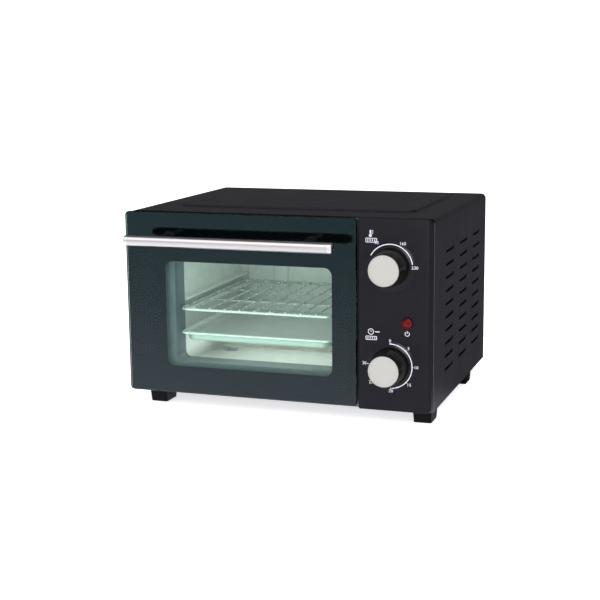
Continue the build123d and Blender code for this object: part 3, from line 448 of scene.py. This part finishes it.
# A much darker, bluer copy of the zinc sheet than the cavity's, for the front frame and the door's inner
# frame.
FRONT = galvanised(
    "galvanised_front", (0.105, 0.125, 0.140), (0.076, 0.092, 0.104), (0.130, 0.150, 0.165), 0.42,
    0.25
)
CAVITY = galvanised(
    "cavity_sheet", (0.66, 0.67, 0.65), (0.54, 0.54, 0.52), (0.74, 0.75, 0.73), 0.50, 0.25, 0.009
)
TRAY = baked_tray("tray_aluminium")
WIRE = plated_wire("chromed_rack_wire")
SPRING = brushed_metal("spring_steel", (0.55, 0.55, 0.55), (0.35, 0.35, 0.35), 0.3, 1)
HEATER = heater_sheath("heater_sheath")
CERAMIC = glazed_ceramic("heater_ceramic", (0.80, 0.77, 0.70), (0.55, 0.50, 0.42))
SHAFT = brushed_metal("shaft_aluminium", (0.62, 0.62, 0.62), (0.48, 0.48, 0.48), 0.3, 1)
HANDLE = brushed_metal(
    "handle_brushed_steel", (0.73, 0.695, 0.675), (0.63, 0.595, 0.575), 0.22, 0, 0.0003, 0.06,
    painted_shaded_back=True
)
CAP = brushed_metal("handle_cap_metal", (0.84, 0.82, 0.79), (0.72, 0.70, 0.67), 0.22, 0, 0.0003, 0.006)
FACE = knob_face("knob_face_silver")
INK = printed_ink("white_panel_ink", (0.74, 0.74, 0.84))
PRINT = fired_print("door_fired_print")
GLASS = pane_glass("door_pane_glass", (0.884, 0.978, 0.924))
JEWEL = jewel("pilot_jewel_red")

finishes = {
    "outer_shell": BLACK_PAINT,
    "base_plate": DARK_PAINT,
    "rear_cover": DARK_PAINT,
    "feet": FOOT,
    "foot_screws": ZINC,
    "cover_screws": SCREW_PAINT,
    "cord_gland": FOOT,
    "front_frame": FRONT,
    "cavity_liner": CAVITY,
    "cavity_back_panel": CAVITY,
    "lower_heating_element": HEATER,
    "upper_heating_element": HEATER,
    "heater_bushes": CERAMIC,
    "heater_clips": ZINC,
    "control_panel": PANEL,
    "panel_screws": ZINC,
    "pilot_lamp_housing": FOOT,
    "pilot_lamp_lens": JEWEL,
    "thermostat_body": PHENOLIC,
    "timer_body": BLACK_ZINC,
    "timer_bell": BLACK_ZINC,
    "control_screws": ZINC,
    "hinge_brackets": ZINC,
    "hinge_bracket_screws": ZINC,
    "spring_anchor": ZINC,
    "door_spring": SPRING,
    "terminal_block": NYLON,
    "internal_wires": SLEEVE,
    "thermal_fuse": ZINC,
    "wire_rack": WIRE,
    "baking_tray": TRAY,
    "thermostat_shaft": SHAFT,
    "temperature_knob": KNOB,
    "temperature_knob_cap": FACE,
    "timer_shaft": SHAFT,
    "timer_knob": KNOB,
    "timer_knob_cap": FACE,
    "door_glass": GLASS,
    "door_inner_frame": FRONT,
    "door_hinge_ears": ZINC,
    "hinge_pins": ZINC,
    "door_stay": ZINC,
    "handle_bar": HANDLE,
    "handle_end_caps": CAP,
    "handle_posts": POST,
    "handle_screws": ZINC,
}
for name, material in finishes.items():
    nodes[name].data.materials.clear()
    nodes[name].data.materials.append(material)


# ---------------------------------------------------------------- mesh helpers
def new_object(name, mesh, material, body):
    """Adds a finished mesh as a piece that rides on a body."""
    piece = bpy.data.objects.new(name, mesh)
    bpy.context.scene.collection.objects.link(piece)
    mesh.materials.append(material)
    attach(piece, body)


def rounded_outline(low, high, radius, steps=10):
    """Points of a rounded rectangle, anticlockwise, as (x, z)."""
    points = []
    corners = ((high[0], low[1], -90), (high[0], high[1], 0), (low[0], high[1], 90), (low[0], low[1], 180))
    for x, z, start in corners:
        cx = x - radius if x == high[0] else x + radius
        cz = z - radius if z == high[1] else z + radius
        for step in range(steps + 1):
            angle = math.radians(start + 90 * step / steps)
            points.append((cx + radius * math.cos(angle), cz + radius * math.sin(angle)))
    return points


def ribbon(build, inner, outer, y_front, y_back, closed=True):
    """A flat band between two outlines with the same number of points, between two depths."""
    rows = [
        [build.verts.new((x, y, z)) for x, z in outline]
        for y in (y_front, y_back)
        for outline in (inner, outer)
    ]
    count = len(inner)
    last = count if closed else count - 1
    for index in range(last):
        following = (index + 1) % count
        a, b, c, d = (rows[part][index] for part in range(4))
        e, f, g, h = (rows[part][following] for part in range(4))
        build.faces.new((a, b, f, e))
        build.faces.new((d, c, g, h))
        build.faces.new((c, a, e, g))
        build.faces.new((b, d, h, f))
    if not closed:
        for index in (0, count - 1):
            a, b, c, d = (rows[part][index] for part in range(4))
            build.faces.new((a, c, d, b) if index == 0 else (b, d, c, a))


def arc_line(cx, cz, radius, start, end, width, y_front, y_back, build, steps_per_turn=160):
    """A thin printed arc from start to end degrees, anticlockwise seen from the front."""
    steps = max(2, int(abs(end - start) / 360 * steps_per_turn))
    angles = [math.radians(start + (end - start) * step / steps) for step in range(steps + 1)]
    inner_radius = radius - width / 2
    outer_radius = radius + width / 2
    inner = [(cx + inner_radius * math.cos(a), cz + inner_radius * math.sin(a)) for a in angles]
    outer = [(cx + outer_radius * math.cos(a), cz + outer_radius * math.sin(a)) for a in angles]
    ribbon(build, inner, outer, y_front, y_back, closed=False)


def bar(start, end, width, y_front, y_back, build):
    """A thin printed bar between two (x, z) points."""
    along = Vector((end[0] - start[0], end[1] - start[1])).normalized()
    side = Vector((-along.y, along.x)) * width / 2
    inner = [(p[0] - side.x, p[1] - side.y) for p in (start, end)]
    outer = [(p[0] + side.x, p[1] + side.y) for p in (start, end)]
    ribbon(build, inner, outer, y_front, y_back, closed=False)


def disc(cx, cz, radius, y_front, y_back, build, steps=24):
    """A thin printed dot."""
    turns = [2 * math.pi * step / steps for step in range(steps)]
    rim = [(cx + radius * math.cos(a), cz + radius * math.sin(a)) for a in turns]
    near = [build.verts.new((x, y_front, z)) for x, z in rim]
    far = [build.verts.new((x, y_back, z)) for x, z in rim]
    build.faces.new(near)
    build.faces.new(list(reversed(far)))
    for index in range(steps):
        following = (index + 1) % steps
        build.faces.new((near[index], far[index], far[following], near[following]))


def number(text, cx, cz, height, y_front, y_back, build):
    """A printed number centred on a point, in the plain built-in typeface."""
    curve = bpy.data.curves.new("number", "FONT")
    curve.body = text
    curve.size = height / 0.72
    curve.align_x = "CENTER"
    curve.align_y = "CENTER"
    curve.resolution_u = 3
    curve.extrude = abs(y_back - y_front) / 2
    curve.space_character = 1.05
    holder = bpy.data.objects.new("number", curve)
    bpy.context.scene.collection.objects.link(holder)
    graph = bpy.context.evaluated_depsgraph_get()
    mesh = bpy.data.meshes.new_from_object(holder.evaluated_get(graph))
    place = Matrix.Translation((cx, (y_front + y_back) / 2, cz)) @ Matrix.Rotation(math.radians(90), 4, "X")
    mesh.transform(place)
    build.from_mesh(mesh)
    bpy.data.objects.remove(holder)
    bpy.data.curves.remove(curve)
    bpy.data.meshes.remove(mesh)


def finished(build, name):
    """Turns a bmesh into a mesh with outward normals."""
    bmesh.ops.recalc_face_normals(build, faces=build.faces)
    mesh = bpy.data.meshes.new(name)
    build.to_mesh(mesh)
    build.free()
    return mesh


# ---------------------------------------------------------------- door print
window_low = (body_left + 0.047, body_base + 0.034)
window_high = (body_left + 0.2468, body_base + 0.156)
build = bmesh.new()
inset = 0.0002
border_low = (glass_low.x + inset, glass_low.z + inset)
border_high = (glass_high.x - inset, glass_high.z - inset)
border = rounded_outline(border_low, border_high, 0.004)
window = rounded_outline(window_low, window_high, 0.009)
ribbon(build, window, border, glass_high.y - 0.00016, glass_high.y - 0.00006)
new_object("door_glass_print", finished(build, "door_glass_print"), PRINT, "door")

# ---------------------------------------------------------------- painted shade sheet
# A black sheet just inside the control bay's rear vents: painted shade for the bay, so that the louvres
# show dark instead of the background.
shade_sheet_low = Vector((0.110, cover_front - 0.0012, body_base + 0.106))
shade_sheet_high = Vector((0.158, cover_front - 0.0002, body_base + 0.186))
build = bmesh.new()
bmesh.ops.create_cube(build, size=1.0)
for vertex in build.verts:
    share = vertex.co + Vector((0.5, 0.5, 0.5))
    vertex.co = shade_sheet_low + Vector(a * b for a, b in zip(share, shade_sheet_high - shade_sheet_low))
new_object(
    "painted_shade_sheet", finished(build, "painted_shade_sheet"), SHADE_SHEET, "oven_body",
)

# ---------------------------------------------------------------- panel print
ink_front = front_y - 0.00006
ink_back = front_y + 0.00004


def dial_point(cz, radius, degrees):
    angle = math.radians(degrees)
    return knob_x + radius * math.cos(angle), cz + radius * math.sin(angle)


def follow_dials(mesh):
    """Lays the print on the sloping dial rings as well as on the flat of the panel."""
    for vertex in mesh.vertices:
        for cz in (temperature_z, timer_z):
            radius = math.hypot(vertex.co.x - knob_x, vertex.co.z - cz)
            if radius < ring_foot:
                vertex.co.y -= ring_height * min(1.0, (ring_foot - radius) / (ring_foot - ring_crest))


build = bmesh.new()
arc_line(knob_x, temperature_z, arc_radius, 8, 151, arc_width, ink_front, ink_back, build)
for label, degrees, reach in (("90", 121, 0.0300), ("160", 62, 0.0290), ("230", 0, 0.0272)):
    x, z = dial_point(temperature_z, reach, degrees)
    number(label, x, z, label_height, ink_front, ink_back, build)
arc_line(knob_x, timer_z, arc_radius, -85, 90, arc_width, ink_front, ink_back, build)
for minutes, degrees in ((0, 90), (5, 45), (10, 0), (15, -43), (20, -88), (25, -138), (30, 177)):
    x, z = dial_point(timer_z, 0.0280 if minutes in (0, 20) else 0.0292, degrees)
    number(str(minutes), x, z, label_height, ink_front, ink_back, build)
    tick_start = dial_point(timer_z, tick_inner, degrees)
    tick_end = dial_point(timer_z, tick_outer, degrees)
    bar(tick_start, tick_end, thin, ink_front, ink_back, build)


def boxed_sign(x0, x1, z0, z1, build):
    """An outlined box with four short strokes in it."""
    outer = rounded_outline((x0, z0), (x1, z1), 0.0009, 4)
    inner = rounded_outline((x0 + thin, z0 + thin), (x1 - thin, z1 - thin), 0.0006, 4)
    ribbon(build, inner, outer, ink_front, ink_back)
    for index in range(4):
        x = x0 + (x1 - x0) * (index + 1) / 5
        bar((x, z0 + 0.0014), (x, z1 - 0.0014), 0.0009, ink_front, ink_back, build)


# A thermometer over its box.
icon_x = body_left + 0.2923
stem_x = icon_x - 0.0010
bulb_z = body_base + 0.1942
boxed_sign(icon_x - 0.0064, icon_x + 0.0064, bulb_z - 0.0076, bulb_z - 0.0028, build)
disc(stem_x, bulb_z, 0.0016, ink_front, ink_back, build)
bar((stem_x, bulb_z), (stem_x, bulb_z + 0.0058), 0.0013, ink_front, ink_back, build)
for step in range(3):
    z = bulb_z + 0.0022 + 0.0015 * step
    bar((icon_x + 0.0004, z), (icon_x + 0.0020, z), 0.0005, ink_front, ink_back, build)

# A clock and a dash over their box.
clock_x = body_left + 0.2920
clock_z = body_base + 0.0886
boxed_sign(clock_x - 0.0060, clock_x + 0.0068, clock_z - 0.0092, clock_z - 0.0049, build)
arc_line(clock_x, clock_z, 0.0030, 0, 360, thin, ink_front, ink_back, build)
bar((clock_x, clock_z), (clock_x, clock_z + 0.0018), 0.0005, ink_front, ink_back, build)
bar((clock_x, clock_z), (clock_x + 0.0014, clock_z), 0.0005, ink_front, ink_back, build)
bar((clock_x + 0.0046, clock_z), (clock_x + 0.0098, clock_z), 0.0008, ink_front, ink_back, build)

# A power sign under the lamp.
power_z = body_base + 0.0882
arc_line(lamp.x, power_z, 0.0024, 125, 415, thin, ink_front, ink_back, build)
bar((lamp.x, power_z + 0.0002), (lamp.x, power_z + 0.0032), thin, ink_front, ink_back, build)
print_mesh = finished(build, "panel_print")
follow_dials(print_mesh)
new_object("panel_print", print_mesh, INK, "oven_body")

# ---------------------------------------------------------------- floor and light
n = Nodes("pale_floor")
speck = n.noise(0.05, 3.0, 0.5)
floor_tone = n.blend(n.ramp(speck, 0.0, 1.0), (0.92, 0.92, 0.92), (0.94, 0.94, 0.94))
FLOOR = n.surface(floor_tone, 0.7, Emission_Color=(1.0, 1.0, 1.0), Emission_Strength=0.60)


def stage_piece(name, mesh, material):
    """Adds a piece of the set, which isn't part of the object."""
    mesh.materials.append(material)
    piece = bpy.data.objects.new(name, mesh)
    bpy.context.scene.collection.objects.link(piece)
    return piece


def plane(name, half, z, material):
    mesh = bpy.data.meshes.new(name)
    corners = [(-half, -half, z), (half, -half, z), (half, half, z), (-half, half, z)]
    mesh.from_pydata(corners, [], [(0, 1, 2, 3)])
    return stage_piece(name, mesh, material)


def seen_only_in_reflections(piece):
    """A studio card: it shapes the highlights and is neither seen nor lights the floor."""
    piece.visible_camera = False
    piece.visible_diffuse = False
    piece.visible_transmission = False
    piece.visible_volume_scatter = False
    piece.visible_shadow = False


floor = plane("floor", 8, 0.0, FLOOR)
floor.visible_glossy = False

# The floor as the glossy surfaces see it: white just in front of the door, dimmer further off and behind.
n = Nodes("floor_card")
where = n.add("ShaderNodeSeparateXYZ")
n.link(n.position(), where.inputs["Vector"])
near = n.math("POWER", n.ramp(where.outputs["Y"], 0.0, 1.0, -0.75, -0.16), 1.4)
ahead = n.ramp(where.outputs["Y"], 1.0, 0.0, -0.14, 0.05)
middle = n.ramp(where.outputs["Y"], 0.0, 1.0, -1.35, -0.60)
across = n.ramp(where.outputs["X"], 1.3, 0.8, -0.9, 0.3)
glow = n.math("ADD", n.math("MULTIPLY", near, 0.34), n.math("MULTIPLY", middle, 0.24))
glow = n.math("MULTIPLY", n.math("ADD", glow, 0.66), ahead)
glow = n.math("MULTIPLY", glow, across)
light = n.add("ShaderNodeEmission")
light.inputs["Color"].default_value = (0.93, 0.95, 1.04, 1.0)
n.link(n.math("ADD", glow, 0.18), light.inputs["Strength"])
n.link(light.outputs["Emission"], n.output.inputs["Surface"])
seen_only_in_reflections(plane("floor_card", 6, 0.0004, n.material))

# The walls and ceiling as the glossy surfaces see them: pale in front, brighter high up, dark behind.
n = Nodes("studio_card")
where = n.add("ShaderNodeSeparateXYZ")
n.link(n.position(), where.inputs["Vector"])
high = n.ramp(where.outputs["Z"], 0.0, 1.0, 1.8, 3.4)
forward = n.ramp(where.outputs["Y"], 1.0, 0.0, -2.0, -0.5)
glow = n.math("MULTIPLY", n.math("ADD", n.math("MULTIPLY", high, 0.9), 0.62), forward)
light = n.add("ShaderNodeEmission")
light.inputs["Color"].default_value = (0.97, 0.97, 1.0, 1.0)
n.link(n.math("ADD", glow, 0.14), light.inputs["Strength"])
n.link(light.outputs["Emission"], n.output.inputs["Surface"])
build = bmesh.new()
bmesh.ops.create_icosphere(build, subdivisions=4, radius=6.0)
dome_mesh = bpy.data.meshes.new("studio_card")
build.to_mesh(dome_mesh)
build.free()
seen_only_in_reflections(stage_piece("studio_card", dome_mesh, n.material))

# A small bright window low in front, which the sloping dial rings and the lamp's facets catch.
n = Nodes("window_card")
light = n.add("ShaderNodeEmission")
light.inputs["Strength"].default_value = 15.0
n.link(light.outputs["Emission"], n.output.inputs["Surface"])
window_mesh = bpy.data.meshes.new("window_card")
window_corners = [(-0.5, -5.0, 0.05), (0.5, -5.0, 0.05), (0.5, -5.0, 0.65), (-0.5, -5.0, 0.65)]
window_mesh.from_pydata(window_corners, [], [(0, 1, 2, 3)])
seen_only_in_reflections(stage_piece("window_card", window_mesh, n.material))

world = bpy.data.worlds.new("studio")
bpy.context.scene.world = world
world.use_nodes = True
world.node_tree.nodes["Background"].inputs["Color"].default_value = (0.97, 0.98, 1.0, 1.0)
world.node_tree.nodes["Background"].inputs["Strength"].default_value = 1.40
world.cycles_visibility.glossy = False
bpy.context.scene.view_settings.view_transform = "Standard"


def softbox(name, where, towards, width, height, power):
    """An area light that faces a point."""
    light = bpy.data.lights.new(name, "AREA")
    light.shape = "RECTANGLE"
    light.size = width
    light.size_y = height
    light.energy = power
    lamp_object = bpy.data.objects.new(name, light)
    bpy.context.scene.collection.objects.link(lamp_object)
    lamp_object.location = where
    lamp_object.rotation_mode = "QUATERNION"
    lamp_object.rotation_quaternion = (Vector(towards) - Vector(where)).to_track_quat("-Z", "Y")
    return lamp_object


def unseen(lamp_object):
    """Keeps a lamp out of sight and out of the reflections, so that only its light is left."""
    lamp_object.visible_camera = False
    lamp_object.visible_glossy = False


unseen(softbox("top_softbox", (0.0, -0.3, 1.8), (0.0, 0.0, 0.1), 1.4, 1.0, 14))
unseen(softbox("front_softbox", (-0.7, -2.0, 1.1), (0.0, 0.0, 0.1), 1.0, 0.8, 9))

# Soft light inside the baking cavity: under the roof, over the floor and a little at the mouth.
liner_low, liner_high = (Vector(corner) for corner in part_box("cavity_liner"))
inside = (liner_low + liner_high) / 2
under_roof = Vector((inside.x, inside.y, liner_high.z - 0.026))
over_floor = Vector((inside.x, inside.y - 0.03, liner_low.z + 0.004))
in_mouth = Vector((inside.x, liner_low.y + 0.002, inside.z + 0.035))
unseen(softbox("roof_light", under_roof, (inside.x, inside.y, 0.0), 0.15, 0.16, 0.060))
unseen(softbox("floor_light", over_floor, (inside.x, inside.y - 0.03, 1.0), 0.15, 0.12, 0.23))
unseen(softbox("mouth_light", in_mouth, (inside.x, 1.0, inside.z + 0.035), 0.16, 0.05, 0.050))

# ---------------------------------------------------------------- camera
# The photograph's own camera, solved from the object's straight edges.
camera_data = bpy.data.cameras.new("camera")
camera_data.sensor_width = 36.0
camera_data.lens = 77.393
camera_data.clip_start = 0.01
camera_data.clip_end = 100.0
camera = bpy.data.objects.new("camera", camera_data)
bpy.context.scene.collection.objects.link(camera)
right = Vector((0.94519529, 0.32635444, -0.00993178))
up = Vector((-0.05062437, 0.17653436, 0.98299176))
back = Vector((0.32255702, -0.92861639, 0.18338094))
turn = Matrix((right, up, back)).transposed()
camera.matrix_world = Matrix.Translation((0.4906, -1.4481, 0.3949)) @ turn.to_4x4()
bpy.context.scene.camera = camera
